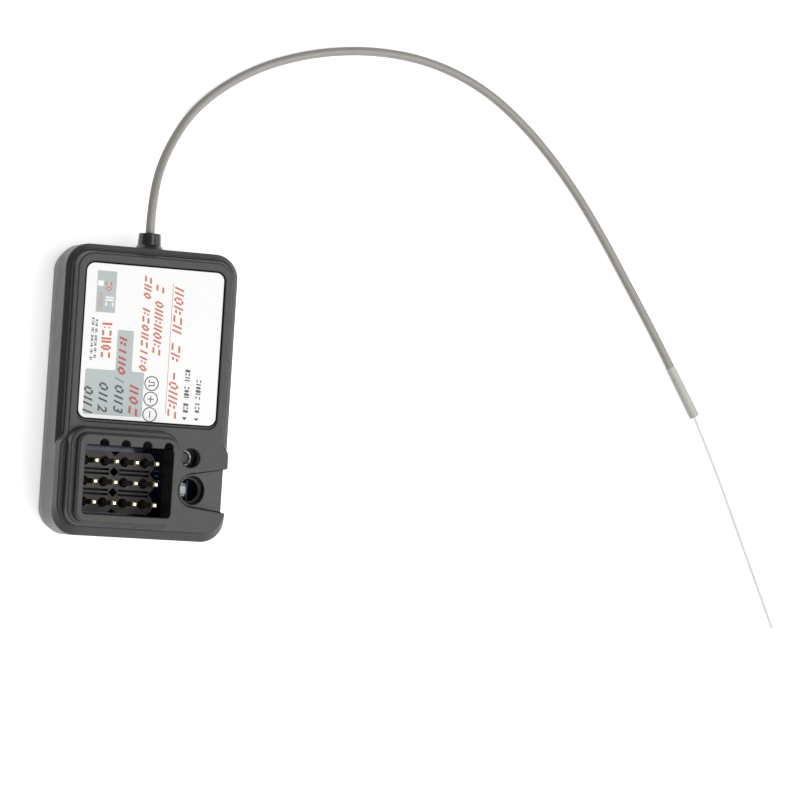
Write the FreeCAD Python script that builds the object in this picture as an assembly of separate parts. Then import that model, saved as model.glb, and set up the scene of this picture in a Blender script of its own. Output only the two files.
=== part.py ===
# Three channel surface receiver for a radio controlled car.
# A small moulded box lies flat on its lower shell. Its upper shell carries a printed label in a recess,
# a two-tier collar round a well with twelve contact pins, a key hole, a light hole with a ramp that runs
# out through the side, and a nozzle that a thin coaxial aerial leaves.
# Millimetres, +X across the box, +Y towards the aerial, +Z up. The origin is the middle of the
# flat underside of the box, under the middle of its width and of its length without the nozzle.

import FreeCAD, Part
import math
import os

# Housing, outside
body_width = 21.95
body_length = 35.8
corner_radius = 3.0
ledge_height = 8.0
deck_height = 9.9
rim_height = 13.0
parting_height = 4.0
parting_swell = 0.07
foot_inset = 0.3
foot_round = 1.2

# Sloped ledge round the label end
slope_rise = 0.62
riser_foot_inset = 0.85
plateau_inset = 1.15
edge_round = 0.2
plateau_corner = 2.0

# Deck round the collar, which spreads to the side walls
shoulder_overlap = 0.51
shoulder_length = 2.0
deck_side_inset = 0.3
deck_front_inset = 1.15

# Walls
wall = 1.2
ceiling = 1.1
floor_wall = 1.2
upper_wall_inset = 0.8
upper_wall_height = 7.2
lip_thickness = 0.6
lip_height = 0.8
lip_clearance = 0.06
root_overlap = 0.2
ramp_wall = 0.9

# Label
label_side_margin = 2.25
label_end_margin = 2.425
label_collar_margin = 1.215
label_corner = 1.0
label_thickness = 0.12
label_sink = 0.1
label_side_gap = 0.2
label_end_gap = 0.45

# Contact pins and their carriers
pin_pitch = 2.54
pin_columns = 4
pin_rows = 3
pin_side = 0.64
pin_chamfer = 0.16
pin_depth_in_rim = 0.9
pin_solder_length = 0.9
carrier_height = 2.5
carrier_notch = 0.6
carrier_slit = 0.28
carrier_slit_depth = 1.6
carrier_rib = 0.24
carrier_recess_radius = 0.6
carrier_recess_depth = 1.2

# Collar and well
well_margin_x = 0.47
well_margin_front = 0.2
well_margin_back = 0.61
well_corner = 0.5
collar_side_wall = 0.78
collar_right_wall = 0.72
collar_front_wall = 0.98
collar_back_wall = 1.36
tier_height = 11.8
tier_side_inset = 1.105
tier_front_inset = 1.31
tier_step_front = 0.45
tier_step_back = 0.68
tier_step_right = 0.22
tier_draft = 0.1
collar_corner = 1.3
tier_corner = 2.0
notch_radius = 0.57
notch_pitch = 2.7
notch_offset = 0.82
notch_rise = 0.19

# Free width inside the box: how it is shared out beside the carriers and the key
carrier_side_part = 1.935
carrier_key_part = 1.28
key_side_part = 1.675

# Key hole, and the key under it
key_offset_y = 3.55
key_hole_radius = 1.2
key_body_side = 4.5
key_body_height = 2.4
key_corner = 0.4
key_cover_thickness = 0.2
key_ring_height = 0.25
key_ring_wall = 0.25
key_ring_round = 0.1
key_well_radius = 1.6
key_floor = 1.1
dome_radius = 1.35
dome_thickness = 0.1
dome_height = 0.4
plunger_radius = 0.75
plunger_clearance = 0.06
plunger_proud = 0.35
plunger_flange_radius = 1.25
plunger_flange_thickness = 0.45
plunger_top_play = 0.15

# Light hole with a ring deep in it, the cup that carries them, and the ramp
light_offset_x = 0.77
light_offset_y = -0.41
light_bore_radius = 1.39
light_ring_wall = 0.26
light_ring_height = 0.25
light_sink_radius = 1.78
light_sink_depth = 3.02
light_cup_wall = 0.62
light_cup_floor = 0.4
ramp_end_radius = 2.15
ramp_start_drop = 0.18
ramp_edge_height = 6.92
ramp_flare_back = 0.177
ramp_flare_front = 0.113

# Light on the board
led_offset_x = -0.02
led_width = 0.85
led_length = 1.6
led_base_height = 0.45
led_lens_height = 0.55
led_lens_length = 1.1
led_lens_round = 0.12

# Circuit board
board_bottom = 2.6
board_thickness = 1.0
board_clearance = 0.3
board_corner = 1.4
pin_hole_radius = 0.47

# Screws from beneath, and their posts
screw_inset = 1.7
screw_radius = 0.8
screw_hole_radius = 0.95
screw_head_radius = 1.45
screw_head_height = 0.9
screw_head_gap = 0.1
screw_end_gap = 0.3
screw_sink_depth = 1.3
screw_length = 5.6
screw_tip = 0.8
screw_tip_radius = 0.15
screw_head_round = 0.3
driver_width = 0.4
driver_length = 1.8
driver_depth = 0.45
post_radius = 1.85
rest_post_radius = 1.3
rest_post_pin_offset = 1.505
boss_gap = 0.05

# Aerial nozzle
nozzle_height = 5.6
nozzle_root_radius = 1.5
nozzle_tip_radius = 1.36
nozzle_reach = 2.0
nozzle_bore_clearance = 0.08
nozzle_mouth_chamfer = 0.3
nozzle_root_fillet = 0.35

# Aerial
coax_diameter = 1.13
sleeve_start_diameter = 1.24
sleeve_end_diameter = 1.36
sleeve_length = 7.5
core_diameter = 0.5
cord_joint_gap = 0.02
arc_share = 0.45
lead_over_board = 0.08
lead_bend_inset = 2.3
lead_landing_inset = 4.4
lead_end_inset = 6.6
screen_joint_size = (2.0, 1.2, 0.75)
screen_joint_offset = 1.0
screen_joint_round = 0.3
tip_joint_radius = 0.75
tip_joint_height = 0.85
floor_gap = 0.005

# Chips on the board
radio_chip_side = 4.0
radio_chip_height = 0.85
controller_width = 4.4
controller_length = 6.4
controller_height = 1.1
lead_width = 0.3
lead_pitch = 0.8
lead_reach = 0.9
lead_thickness = 0.15
crystal_width = 2.5
crystal_length = 3.2
crystal_height = 0.8
regulator_width = 1.6
regulator_length = 2.9
regulator_height = 1.1
capacitor_size = (0.8, 1.6, 0.8)
resistor_size = (0.8, 1.6, 0.4)
crystal_corner = 0.35

# Where the chips sit: from the middle of the board, from the radio chip, or in from the walls,
# first from the nearer side wall and then from the far wall
radio_chip_x = -1.6
radio_chip_inset = 10.3
controller_place = (3.6, 1.6)
crystal_side_share = 2.125 / 3.675
crystal_inset = 9.5
regulator_inset = 3.775
regulator_y = 0.4
far_capacitor_insets = [(1.375, 5.3), (2.975, 5.3), (4.575, 5.3)]
middle_capacitor_places = [(-2.6, -2.6), (-1.0, -2.6), (0.6, -2.6)]
radio_resistor_offsets = [(-1.0, -3.8), (0.4, -3.8)]
far_resistor_x = [3.4, 4.8]
far_resistor_inset = 5.1
right_resistor_insets = [(1.875, 10.5), (1.875, 8.2)]
left_resistor_inset = 1.075
left_resistor_y = -3.0

# Values that follow from the sizes above
half_width = body_width / 2
half_length = body_length / 2
slope_top = ledge_height + slope_rise
ceiling_height = deck_height - label_sink - label_thickness - ceiling
board_top = board_bottom + board_thickness
pin_tip = rim_height - pin_depth_in_rim
room_side = half_width - wall
room_back = half_length - wall
grid_half_x = pin_columns * pin_pitch / 2
grid_half_y = pin_rows * pin_pitch / 2
free_width = 2 * (room_side - grid_half_x) - key_body_side
free_part = free_width / (carrier_side_part + carrier_key_part + key_side_part)
grid_centre_x = -room_side + carrier_side_part * free_part + grid_half_x
tier_front = -half_length + tier_front_inset
grid_centre_y = tier_front + tier_step_front + collar_front_wall + well_margin_front + grid_half_y
well_left = grid_centre_x - grid_half_x - well_margin_x
well_right = grid_centre_x + grid_half_x + well_margin_x
well_front = grid_centre_y - grid_half_y - well_margin_front
well_back = grid_centre_y + grid_half_y + well_margin_back
tier_back = well_back + collar_back_wall + tier_step_back
shoulder_start = tier_back - shoulder_overlap
label_width = body_width - 2 * label_side_margin
label_back = half_length - label_end_margin
label_front = tier_back + label_collar_margin
key_x = room_side - key_side_part * free_part - key_body_side / 2
key_y = grid_centre_y + key_offset_y
light_x = key_x + light_offset_x
light_y = grid_centre_y + light_offset_y
light_sink_level = deck_height - ramp_start_drop - light_sink_depth
led_x = light_x + led_offset_x
lead_bend_y = half_length - lead_bend_inset
lead_landing_y = half_length - lead_landing_inset
lead_end_y = half_length - lead_end_inset
coax_radius = coax_diameter / 2
nozzle_bore_radius = coax_radius + nozzle_bore_clearance
nozzle_end = half_length + nozzle_reach
screw_x = half_width - wall - screw_inset
screw_y = half_length - wall - screw_inset
screw_places = [(-screw_x, screw_y), (screw_x, -screw_y)]
first_pin_x = grid_centre_x - (pin_columns - 1) / 2 * pin_pitch
rest_places = [(screw_x, screw_y), (first_pin_x - rest_post_pin_offset, -screw_y)]
radio_chip_place = (radio_chip_x, room_back - radio_chip_inset)
crystal_room = room_side + radio_chip_x - radio_chip_side / 2 - crystal_width
crystal_x = crystal_side_share * crystal_room + crystal_width / 2 - room_side
crystal_place = (crystal_x, room_back - crystal_inset)
regulator_place = (regulator_inset - room_side, regulator_y)
capacitor_places = [(x - room_side, room_back - y) for x, y in far_capacitor_insets]
capacitor_places += middle_capacitor_places
resistor_places = [(radio_chip_x + x, radio_chip_place[1] + y) for x, y in radio_resistor_offsets]
resistor_places += [(x, room_back - far_resistor_inset) for x in far_resistor_x]
resistor_places += [(room_side - x, room_back - y) for x, y in right_resistor_insets]
resistor_places += [(left_resistor_inset - room_side, left_resistor_y)]

# Free aerial: its route, chosen by hand from the nozzle to the sleeve and on to the tip.
# It leaves the nozzle level, droops to the ground and lies on it.
coax_floor = coax_radius + floor_gap
core_floor = core_diameter / 2 + floor_gap
sleeve_axis = sleeve_end_diameter / 2 + floor_gap
coax_route = [
    (0.0, nozzle_end, nozzle_height),
    (0.0, 25.0, nozzle_height),
    (2.2, 30.9, 2.9),
    (6.4, 37.2, coax_floor),
    (13.3, 42.4, coax_floor),
    (21.3, 45.4, coax_floor),
    (29.5, 46.6, coax_floor),
    (37.6, 46.0, coax_floor),
    (45.3, 43.2, coax_floor),
    (51.9, 38.4, coax_floor),
    (57.7, 32.5, coax_floor),
    (62.8, 25.9, coax_floor),
    (67.3, 19.2, coax_floor),
    (71.2, 13.4, sleeve_axis),
    (74.1, 8.8, sleeve_axis),
]
core_route_after_sleeve = [
    (81.7, -4.3, 0.42),
    (85.2, -11.7, core_floor),
    (88.7, -19.1, core_floor),
    (91.6, -25.3, core_floor),
]


def vector(x, y, z):
    return FreeCAD.Vector(x, y, z)


def rounded_outline(x0, x1, y0, y1, radius, z):
    """A rectangle with round corners, as one wire at height z."""
    k = radius * (1 - math.sqrt(0.5))
    corners = [
        ((x1 - radius, y0), (x1 - k, y0 + k), (x1, y0 + radius)),
        ((x1, y1 - radius), (x1 - k, y1 - k), (x1 - radius, y1)),
        ((x0 + radius, y1), (x0 + k, y1 - k), (x0, y1 - radius)),
        ((x0, y0 + radius), (x0 + k, y0 + k), (x0 + radius, y0)),
    ]
    return outline_of(corners, z)


def outline_of(bends, z):
    """A closed wire of arcs, each given by three points, joined by straight lines."""
    edges = []
    count = len(bends)
    for i in range(count):
        start, middle, end = [vector(p[0], p[1], z) for p in bends[i]]
        edges.append(Part.Arc(start, middle, end).toShape())
        following = vector(bends[(i + 1) % count][0][0], bends[(i + 1) % count][0][1], z)
        if (following - end).Length > 1e-6:
            edges.append(Part.LineSegment(end, following).toShape())
    return Part.Wire(edges)


def prism(wire, height):
    return Part.Face(wire).extrude(vector(0, 0, height))


def rounded_block(x0, x1, y0, y1, radius, z0, z1):
    return prism(rounded_outline(x0, x1, y0, y1, radius, z0), z1 - z0)


def inset_outline(inset, radius, z):
    """The box's own outline, drawn in by an inset."""
    x = half_width - inset
    y = half_length - inset
    return rounded_outline(-x, x, -y, y, radius, z)


def joined(lower, upper):
    """A straight-sided solid between two outlines of the same make."""
    return Part.makeLoft([lower, upper], True, True)


def cylinder(radius, height, x, y, z, axis=(0, 0, 1)):
    return Part.makeCylinder(radius, height, vector(x, y, z), vector(*axis))


def centred_box(width, length, height, x, y, z):
    return Part.makeBox(width, length, height, vector(x - width / 2, y - length / 2, z))


def soften_edges_at(shape, z, radius, keep=None):
    """Rounds the level edges at height z, or those of them that keep() picks."""
    level = []
    for edge in shape.Edges:
        box = edge.BoundBox
        if abs(box.ZMin - z) < 1e-4 and abs(box.ZMax - z) < 1e-4:
            if keep is None or keep(box):
                level.append(edge)
    return shape.makeFillet(radius, level)


def uprights_of(box):
    """The upright edges of a plain box."""
    return [edge for edge in box.Edges if edge.BoundBox.XLength + edge.BoundBox.YLength < 1e-6]


def joined_solid(shapes):
    whole = shapes[0].multiFuse(shapes[1:])
    return whole.removeSplitter()


def shoulder(side, inner, wide):
    """The two arcs of one shoulder, where the deck steps out from the plateau to the side wall."""
    step = wide - inner
    turn = 2 * math.atan2(step, shoulder_length)
    radius = step / (2 * (1 - math.cos(turn)))
    half = turn / 2
    middle_y = shoulder_start - shoulder_length / 2
    middle = (side * (inner + wide) / 2, middle_y)
    upper = (side * (inner + radius * (1 - math.cos(half))), shoulder_start - radius * math.sin(half))
    lower_y = shoulder_start - shoulder_length + radius * math.sin(half)
    lower = (side * (wide - radius * (1 - math.cos(half))), lower_y)
    start = (side * inner, shoulder_start)
    end = (side * wide, shoulder_start - shoulder_length)
    return [(start, upper, middle), (middle, lower, end)]


def deck_outline(plateau, side, front, radius, z):
    """Outline of the whole top face: plateau at the label end, full width round the collar."""
    inner = half_width - plateau
    wide = half_width - side
    back = half_length - plateau
    fore = -half_length + front
    k = radius * (1 - math.sqrt(0.5))
    n = plateau_corner * (1 - math.sqrt(0.5))
    right = shoulder(1, inner, wide)
    left = shoulder(-1, inner, wide)
    bends = [((wide - radius, fore), (wide - k, fore + k), (wide, fore + radius))]
    for start, middle, end in reversed(right):
        bends.append((end, middle, start))
    bends.append(((inner, back - plateau_corner), (inner - n, back - n), (inner - plateau_corner, back)))
    bends.append(((plateau_corner - inner, back), (n - inner, back - n), (-inner, back - plateau_corner)))
    bends.extend(left)
    bends.append(((-wide, fore + radius), (k - wide, fore + k), (radius - wide, fore)))
    return outline_of(bends, z)


def housing_top():
    """The plateau and the deck, from the sloped ledge up to the top face."""
    foot = deck_outline(riser_foot_inset, 0, 0, corner_radius, slope_top)
    top = deck_outline(plateau_inset, deck_side_inset, deck_front_inset, corner_radius, deck_height)
    rise = joined(foot, top)
    rise = soften_edges_at(rise, deck_height, edge_round)
    base = deck_outline(riser_foot_inset, 0, 0, corner_radius, ledge_height - slope_rise)
    return [rise, prism(base, slope_top - ledge_height + slope_rise)]


def spread_outline(sides, spread, radius, z):
    """A rounded rectangle from its left, right, front and back sides, each moved outwards by a spread."""
    left, right, front, back = sides
    return rounded_outline(left - spread, right + spread, front - spread, back + spread, radius, z)


def collar():
    """Two rounded tiers round the well."""
    left = well_left - collar_side_wall
    right = well_right + collar_right_wall
    front = well_front - collar_front_wall
    back = well_back + collar_back_wall
    outer = (tier_side_inset - half_width, right + tier_step_right, tier_front, tier_back)
    foot = deck_height - slope_rise
    lower = joined(
        spread_outline(outer, tier_draft, tier_corner, foot),
        spread_outline(outer, 0, tier_corner, tier_height),
    )
    lower = soften_edges_at(lower, tier_height, edge_round)
    upper = joined(
        spread_outline((left, right, front, back), tier_draft, collar_corner, foot),
        spread_outline((left, right, front, back), 0, collar_corner, rim_height),
    )
    upper = soften_edges_at(upper, rim_height, edge_round)
    return [lower, upper]


def nozzle():
    """Tapered spout for the aerial on the far end wall."""
    root = half_length - wall
    length = nozzle_end - root
    axis = vector(0, 1, 0)
    taper = nozzle_root_radius - nozzle_tip_radius
    root_radius = nozzle_root_radius + taper * wall / nozzle_reach
    spout = Part.makeCone(root_radius, nozzle_tip_radius, length, vector(0, root, nozzle_height), axis)
    skirt_start = vector(0, half_length, nozzle_height)
    skirt_radius = nozzle_root_radius + nozzle_root_fillet
    skirt = Part.makeCone(skirt_radius, nozzle_tip_radius, 2 * nozzle_root_fillet, skirt_start, axis)
    below = centred_box(4 * skirt_radius, 4 * skirt_radius, parting_height, 0, half_length, 0)
    return [spout, skirt.cut(below)]


def nozzle_bore():
    start = half_length - wall - 0.5
    length = nozzle_end - start
    bore = cylinder(nozzle_bore_radius, length, 0, start, nozzle_height, (0, 1, 0))
    mouth_start = vector(0, nozzle_end - nozzle_mouth_chamfer, nozzle_height)
    mouth_radius = nozzle_bore_radius + nozzle_mouth_chamfer
    axis = vector(0, 1, 0)
    mouth = Part.makeCone(nozzle_bore_radius, mouth_radius, nozzle_mouth_chamfer, mouth_start, axis)
    return [bore, mouth]


def ramp_cut(grow, drop):
    """The space over the ramp. With grow and drop it is the ramp's wall, which hangs into the box."""
    radius = ramp_end_radius + grow
    start = light_x - radius
    far = half_width + 2.0
    run = far - light_x
    top = rim_height + 1.0
    back = light_y + radius
    front = light_y - radius
    arc = ((light_x, back), (start, light_y), (light_x, front))
    arc_edge = Part.Arc(*[vector(p[0], p[1], top) for p in arc]).toShape()
    far_front = vector(far, front - run * ramp_flare_front, top)
    far_back = vector(far, back + run * ramp_flare_back, top)
    edges = [
        arc_edge,
        Part.LineSegment(vector(light_x, front, top), far_front).toShape(),
        Part.LineSegment(far_front, far_back).toShape(),
        Part.LineSegment(far_back, vector(light_x, back, top)).toShape(),
    ]
    column = Part.Face(Part.Wire(edges)).extrude(vector(0, 0, -top))
    return column.common(above_ramp(drop))


def above_ramp(drop):
    """All that lies above the ramp's sloping floor."""
    x0 = light_x - ramp_end_radius
    z0 = deck_height - ramp_start_drop - drop
    z1 = ramp_edge_height - drop
    fall = (z0 - z1) / (half_width - x0)
    left = x0 - 3.0
    right = half_width + 3.0
    top = rim_height + 2.0
    points = [
        vector(left, -half_length, z0 + 3.0 * fall),
        vector(right, -half_length, z1 - 3.0 * fall),
        vector(right, -half_length, top),
        vector(left, -half_length, top),
    ]
    side = Part.makePolygon(points + points[:1])
    return Part.Face(side).extrude(vector(0, body_length, 0))


def light_hole():
    """Stepped hole over the light, with a raised ring round its bore, deep in its cup."""
    sink = cylinder(light_sink_radius, rim_height, light_x, light_y, light_sink_level)
    ring_radius = light_bore_radius + light_ring_wall
    ring = cylinder(ring_radius, light_ring_height, light_x, light_y, light_sink_level)
    bore = cylinder(light_bore_radius, rim_height, light_x, light_y, board_top)
    return sink.cut(ring).fuse(bore)


def well():
    """The well through the collar, with four half-round key notches in its far edge."""
    outline = rounded_outline(well_left, well_right, well_front, well_back, well_corner, board_top)
    opening = prism(outline, rim_height)
    first = grid_centre_x - notch_pitch * (pin_columns - 1) / 2 + notch_offset
    notches = []
    for i in range(pin_columns):
        x = first + i * notch_pitch
        notches.append(cylinder(notch_radius, rim_height, x, well_back + notch_rise, board_top))
    return opening.multiFuse(notches)


def cavity():
    """The room inside the upper shell, less the wall under the ramp."""
    outline = inset_outline(wall, corner_radius - wall, parting_height)
    lower = prism(outline, upper_wall_height - parting_height)
    inset = wall + upper_wall_inset
    outline = inset_outline(inset, corner_radius - wall, parting_height)
    upper = prism(outline, ceiling_height - parting_height)
    return lower.fuse(upper).cut(ramp_cut(ramp_wall, ramp_wall))


def lip_ring(clearance, start, height):
    """The lip of the lower shell, or with a clearance the rebate that takes it."""
    outer_inset = wall - lip_thickness - clearance
    inner_inset = wall + clearance
    outer = prism(inset_outline(outer_inset, corner_radius - outer_inset, start), height)
    return outer.cut(prism(inset_outline(inner_inset, corner_radius - inner_inset, start), height))


def label_recess():
    """Shallow pocket for the label, with a wider gap at the collar's end."""
    x = label_width / 2 + label_side_gap
    back = label_back + label_side_gap
    front = label_front - label_end_gap
    floor = deck_height - label_sink - label_thickness
    outline = rounded_outline(-x, x, front, back, label_corner + label_side_gap, floor)
    return prism(outline, rim_height - floor)


def top_housing():
    swell = inset_outline(-parting_swell, corner_radius, parting_height)
    ledge = inset_outline(0, corner_radius, ledge_height)
    walls = joined(swell, ledge)
    slope = joined(ledge, inset_outline(slope_rise, corner_radius - slope_rise, slope_top))
    shell = joined_solid([walls, slope] + housing_top() + collar() + nozzle())
    shell = shell.cut(cavity())
    bosses = []
    foot = board_top + boss_gap
    for x, y in screw_places:
        bosses.append(cylinder(post_radius, ceiling_height + root_overlap - foot, x, y, foot))
    cup_bottom = light_sink_level - light_cup_floor
    cup_height = ceiling_height + root_overlap - cup_bottom
    bosses.append(cylinder(light_sink_radius + light_cup_wall, cup_height, light_x, light_y, cup_bottom))
    shell = shell.multiFuse(bosses).removeSplitter()
    rebate_depth = parting_height + lip_height + lip_clearance - board_top
    shell = shell.cut(lip_ring(lip_clearance, board_top, rebate_depth))
    cuts = [
        label_recess(),
        well(),
        cylinder(key_hole_radius, rim_height, key_x, key_y, board_top + boss_gap),
        ramp_cut(0, 0),
        light_hole(),
    ]
    cuts.extend(nozzle_bore())
    pilot_length = screw_sink_depth + screw_length + screw_end_gap - board_top
    for x, y in screw_places:
        cuts.append(cylinder(screw_radius, pilot_length, x, y, board_top))
    return shell.cut(cuts)


def bottom_cover():
    foot = inset_outline(foot_inset, corner_radius, 0)
    base = joined(foot, inset_outline(-parting_swell, corner_radius, parting_height))
    base = soften_edges_at(base, 0, foot_round)
    room = prism(inset_outline(wall, corner_radius - wall, floor_wall), parting_height)
    tray = base.cut(room).fuse(lip_ring(0, parting_height - lip_height, 2 * lip_height))
    post_root = floor_wall / 2
    posts = []
    for x, y in screw_places:
        posts.append(cylinder(post_radius, board_bottom - post_root, x, y, post_root))
    for x, y in rest_places:
        post = cylinder(rest_post_radius, board_bottom - post_root, x, y, post_root)
        posts.append(post.common(base))
    tray = tray.multiFuse(posts).removeSplitter()
    holes = []
    for x, y in screw_places:
        holes.append(cylinder(screw_hole_radius, board_bottom, x, y, 0))
        holes.append(cylinder(screw_head_radius + screw_head_gap, screw_sink_depth, x, y, 0))
    return tray.cut(holes)


def label():
    x = label_width / 2
    floor = deck_height - label_sink - label_thickness
    outline = rounded_outline(-x, x, label_front, label_back, label_corner, floor)
    return prism(outline, label_thickness)


def pin_places():
    """Name and centre of each pin, column by column."""
    columns = ["channel_1", "channel_2", "channel_3", "battery"]
    rows = ["signal", "plus", "minus"]
    places = []
    for i, column in enumerate(columns):
        for j, row in enumerate(rows):
            x = grid_centre_x + (i - (pin_columns - 1) / 2) * pin_pitch
            y = grid_centre_y - (j - (pin_rows - 1) / 2) * pin_pitch
            places.append(("pin_%s_%s" % (column, row), x, y))
    return places


def pin(x, y):
    """A square pin with chamfered ends, through its carrier and the board."""
    bottom = board_bottom - pin_solder_length
    bar = centred_box(pin_side, pin_side, pin_tip - bottom, x, y, bottom)
    ends = []
    for edge in bar.Edges:
        if edge.BoundBox.ZLength < 1e-6:
            ends.append(edge)
    return bar.makeChamfer(pin_chamfer, ends)


def header_block(columns):
    """Pin carrier for some of the columns: notched sides, slits between the rows and round pin recesses."""
    first = grid_centre_x + (columns[0] - pin_columns / 2) * pin_pitch
    last = grid_centre_x + (columns[-1] + 1 - pin_columns / 2) * pin_pitch
    front = grid_centre_y - grid_half_y
    top = board_top + carrier_height
    block = Part.makeBox(last - first, 2 * grid_half_y, carrier_height, vector(first, front, board_top))
    middle = (first + last) / 2
    slit_width = last - first - 2 * carrier_notch
    slit_offset = (carrier_rib + carrier_slit) / 2
    slit_floor = top - carrier_slit_depth
    cuts = []
    for j in range(pin_rows + 1):
        y = front + j * pin_pitch
        for x in (first, last):
            cuts.append(corner_notch(x, y, top))
    for j in range(1, pin_rows):
        y = front + j * pin_pitch
        for slit_y in (y - slit_offset, y + slit_offset):
            slit = centred_box(slit_width, carrier_slit, carrier_slit_depth, middle, slit_y, slit_floor)
            cuts.append(slit)
    recess_floor = top - carrier_recess_depth
    for name, x, y in pin_places():
        if first < x < last:
            cuts.append(cylinder(carrier_recess_radius, carrier_recess_depth, x, y, recess_floor))
            cuts.append(centred_box(pin_side, pin_side, carrier_height, x, y, board_top))
    return block.cut(cuts)


def corner_notch(x, y, top):
    """A square prism on its corner, which leaves the carriers' diamond notches."""
    points = []
    for dx, dy in ((1, 0), (0, 1), (-1, 0), (0, -1)):
        points.append(vector(x + dx * carrier_notch, y + dy * carrier_notch, board_top))
    face = Part.Face(Part.makePolygon(points + points[:1]))
    return face.extrude(vector(0, 0, top - board_top))


def circuit_board():
    inset = wall + board_clearance
    board = prism(inset_outline(inset, board_corner, board_bottom), board_thickness)
    holes = []
    for name, x, y in pin_places():
        holes.append(cylinder(pin_hole_radius, board_thickness, x, y, board_bottom))
    for x, y in screw_places:
        holes.append(cylinder(screw_hole_radius, board_thickness, x, y, board_bottom))
    return board.cut(holes)


def key_heights():
    """Levels of the key: body top, cover top, ring top and well floor."""
    body_top = board_top + key_body_height
    cover_top = body_top + key_cover_thickness
    return body_top, cover_top, cover_top + key_ring_height, board_top + key_floor


def key_switch_base():
    body_top, cover_top, ring_top, well_floor = key_heights()
    body = centred_box(key_body_side, key_body_side, key_body_height, key_x, key_y, board_top)
    body = body.makeChamfer(key_corner, uprights_of(body))
    return body.cut(cylinder(key_well_radius, key_body_height, key_x, key_y, well_floor))


def key_switch_cover():
    body_top, cover_top, ring_top, well_floor = key_heights()
    plate = centred_box(key_body_side, key_body_side, key_cover_thickness, key_x, key_y, body_top)
    plate = plate.makeChamfer(key_corner, uprights_of(plate))
    bore = plunger_radius + plunger_clearance
    ring = cylinder(bore + key_ring_wall, ring_top - body_top, key_x, key_y, body_top)
    cover = plate.fuse(ring).removeSplitter()
    cover = soften_edges_at(cover, ring_top, key_ring_round)
    return cover.cut(cylinder(bore, ring_top - body_top, key_x, key_y, body_top))


def key_contact_dome():
    """Snap dome: a thin spherical cap on the floor of the key's well."""
    well_floor = key_heights()[3]
    ball = (dome_radius ** 2 + dome_height ** 2) / (2 * dome_height)
    centre = vector(key_x, key_y, well_floor + dome_height - ball)
    shell = Part.makeSphere(ball, centre).cut(Part.makeSphere(ball - dome_thickness, centre))
    return shell.common(cylinder(key_well_radius, 2 * dome_height, key_x, key_y, well_floor))


def key_plunger():
    body_top, cover_top, ring_top, well_floor = key_heights()
    flange_top = body_top - plunger_top_play
    flange_bottom = flange_top - plunger_flange_thickness
    top = ring_top + plunger_proud
    stem = cylinder(plunger_radius, top - flange_bottom, key_x, key_y, flange_bottom)
    flange = cylinder(plunger_flange_radius, plunger_flange_thickness, key_x, key_y, flange_bottom)
    plunger = stem.fuse(flange).removeSplitter()
    return soften_edges_at(plunger, top, edge_round)


def status_led_base():
    return centred_box(led_width, led_length, led_base_height, led_x, light_y, board_top)


def status_led_lens():
    foot = board_top + led_base_height
    lens = centred_box(led_width, led_lens_length, led_lens_height, led_x, light_y, foot)
    return soften_edges_at(lens, foot + led_lens_height, led_lens_round)


def leads_beside(width, length, x, y):
    """Flat legs along both long sides of a chip."""
    count = int((length - lead_width) / lead_pitch)
    legs = []
    for i in range(count):
        across = y + (i - (count - 1) / 2) * lead_pitch
        legs.append(centred_box(width + 2 * lead_reach, lead_width, lead_thickness, x, across, board_top))
    return legs


def radio_chip():
    return centred_box(radio_chip_side, radio_chip_side, radio_chip_height, *radio_chip_place, board_top)


def microcontroller():
    body = centred_box(controller_width, controller_length, controller_height, *controller_place, board_top)
    return joined_solid([body] + leads_beside(controller_width, controller_length, *controller_place))


def crystal():
    can = centred_box(crystal_width, crystal_length, crystal_height, *crystal_place, board_top)
    return can.makeFillet(crystal_corner, uprights_of(can))


def voltage_regulator():
    body = centred_box(regulator_width, regulator_length, regulator_height, *regulator_place, board_top)
    return joined_solid([body] + leads_beside(regulator_width, regulator_length, *regulator_place))


def row_of(size, places):
    """Loose chips of one size, kept as separate solids in one node."""
    chips = [centred_box(size[0], size[1], size[2], x, y, board_top) for x, y in places]
    return Part.makeCompound(chips)


def chip_capacitors():
    return row_of(capacitor_size, capacitor_places)


def chip_resistors():
    return row_of(resistor_size, resistor_places)


def housing_screws():
    """Two self-tapping screws from beneath, with a cross in each pan head."""
    screws = []
    head_bottom = screw_sink_depth - screw_head_height
    for x, y in screw_places:
        head = cylinder(screw_head_radius, screw_head_height, x, y, head_bottom)
        head = soften_edges_at(head, head_bottom, screw_head_round)
        shank_length = screw_length - screw_tip
        shank = cylinder(screw_radius, shank_length, x, y, screw_sink_depth)
        tip_start = vector(x, y, screw_sink_depth + shank_length)
        tip = Part.makeCone(screw_radius, screw_tip_radius, screw_tip, tip_start)
        screw = joined_solid([head, shank, tip])
        for width, length in ((driver_width, driver_length), (driver_length, driver_width)):
            screw = screw.cut(centred_box(width, length, driver_depth, x, y, head_bottom))
        screws.append(screw)
    return Part.makeCompound(screws)


def rounded_path(points, name):
    """Straight runs joined by arcs that touch both runs. Prints the smallest arc radius."""
    places = [vector(*p) for p in points]
    edges = []
    start = places[0]
    smallest = None
    for i in range(1, len(places) - 1):
        before = places[i] - places[i - 1]
        after = places[i + 1] - places[i]
        shorter = min(before.Length, after.Length)
        turn = before.getAngle(after)
        trim = arc_share * shorter
        radius = trim / math.tan(turn / 2)
        smallest = radius if smallest is None else min(smallest, radius)
        into = vector(*before).normalize()
        out = vector(*after).normalize()
        first = places[i] - into * trim
        last = places[i] + out * trim
        inward = (out - into).normalize()
        centre_distance = radius / math.cos(turn / 2)
        middle = places[i] + inward * (centre_distance - radius)
        edges.append(Part.LineSegment(start, first).toShape())
        edges.append(Part.Arc(first, middle, last).toShape())
        start = last
    edges.append(Part.LineSegment(start, places[-1]).toShape())
    print(name, "smallest radius", round(smallest, 2))
    return Part.Wire(edges)


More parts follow.
